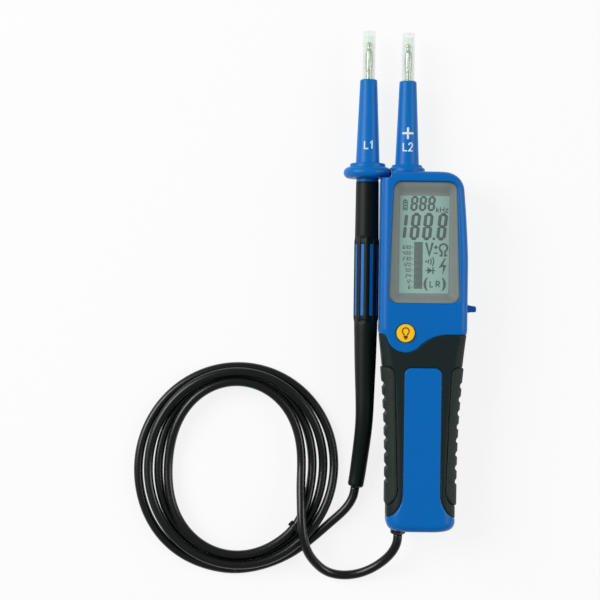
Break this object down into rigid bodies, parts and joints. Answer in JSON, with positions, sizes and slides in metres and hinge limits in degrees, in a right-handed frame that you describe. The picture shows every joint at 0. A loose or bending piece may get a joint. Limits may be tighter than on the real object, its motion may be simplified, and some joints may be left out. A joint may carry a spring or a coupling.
{
  "type": "two-pole voltage tester",
  "caption": "Hand-held two-pole voltage tester with a display, a fixed probe, a docked hand probe with a guard flange, and a coiled connecting cable.",
  "frame": {"origin": "on the table under the middle of the main unit, at its flat back", "axes": "+X to the right of the display, +Y towards the probe tips, +Z out of the display"},
  "size_m": [0.1647, 0.2663, 0.0278],
  "materials": {
    "shell_blue": "satin moulded ABS",
    "grip_black": "smooth soft overmould",
    "pad_black": "rough grained soft inserts",
    "lens_clear": "clear polycarbonate",
    "frame_grey": "matte",
    "lcd_green": "reflective display glass",
    "light_white": "matte",
    "strip_pink": "matte",
    "board_green": "solder mask",
    "chip_black": "moulded",
    "resistor_tan": "lacquered",
    "button_yellow": "satin",
    "cell_silver": "sleeved",
    "contact_steel": "bright",
    "screw_steel": "zinc plated",
    "seal_black": "matte",
    "probe_blue": "satin moulded",
    "pin_nickel": "nickel plated",
    "cap_clear": "clear soft plastic",
    "sleeve_black": "satin",
    "cord_black": "satin jacket",
    "tie_black": "satin"
  },
  "bodies": {
    "main_unit": {"front_shell": "shell_blue", "rear_shell": "shell_blue", "front_grip": "grip_black", "rear_grip": "grip_black", "left_grip_pad": "pad_black", "right_grip_pad": "pad_black", "display_lens": "lens_clear", "display_frame": "frame_grey", "lcd_panel": "lcd_green", "backlight_plate": "light_white", "contact_strips": "strip_pink", "circuit_board": "board_green", "controller_chip": "chip_black", "tact_switch": "chip_black", "buzzer": "chip_black", "input_resistors": "resistor_tan", "batteries": "cell_silver", "battery_springs": "contact_steel", "battery_cover": "shell_blue", "battery_seal": "seal_black", "battery_cover_screw": "screw_steel", "housing_screws": "screw_steel", "fixed_probe_nose": "probe_blue", "fixed_probe_pin": "pin_nickel", "fixed_pin_contact": "contact_steel", "cord_bushing": "cord_black", "cord_main_stretch": "cord_black", "cord_coil": "cord_black", "cord_probe_stretch": "cord_black", "cord_tie": "tie_black"},
    "button": {"light_button": "button_yellow"},
    "fixed_cap": {"fixed_tip_cap": "cap_clear"},
    "hand_probe": {"hand_probe_nose": "probe_blue", "hand_probe_pin": "pin_nickel", "hand_probe_core": "probe_blue", "hand_probe_sleeve": "sleeve_black", "hand_probe_boot": "sleeve_black", "hand_probe_resistor": "resistor_tan"},
    "hand_cap": {"hand_tip_cap": "cap_clear"}
  },
  "joints": [
    {"name": "button_press", "type": "slide", "parent": "main_unit", "child": "button", "axis": [0, 0, -1], "range_m": [0, 0.0008], "stiffness_N_per_m": 500},
    {"name": "fixed_cap_pull", "type": "slide", "parent": "main_unit", "child": "fixed_cap", "axis": [0, 1, 0], "range_m": [0, 0.026]},
    {"name": "hand_probe_lift", "type": "slide", "parent": "main_unit", "child": "hand_probe", "axis": [0, 0, 1], "range_m": [0, 0.04]},
    {"name": "hand_cap_pull", "type": "slide", "parent": "hand_probe", "child": "hand_cap", "axis": [0, 1, 0], "range_m": [0, 0.026]}
  ]
}
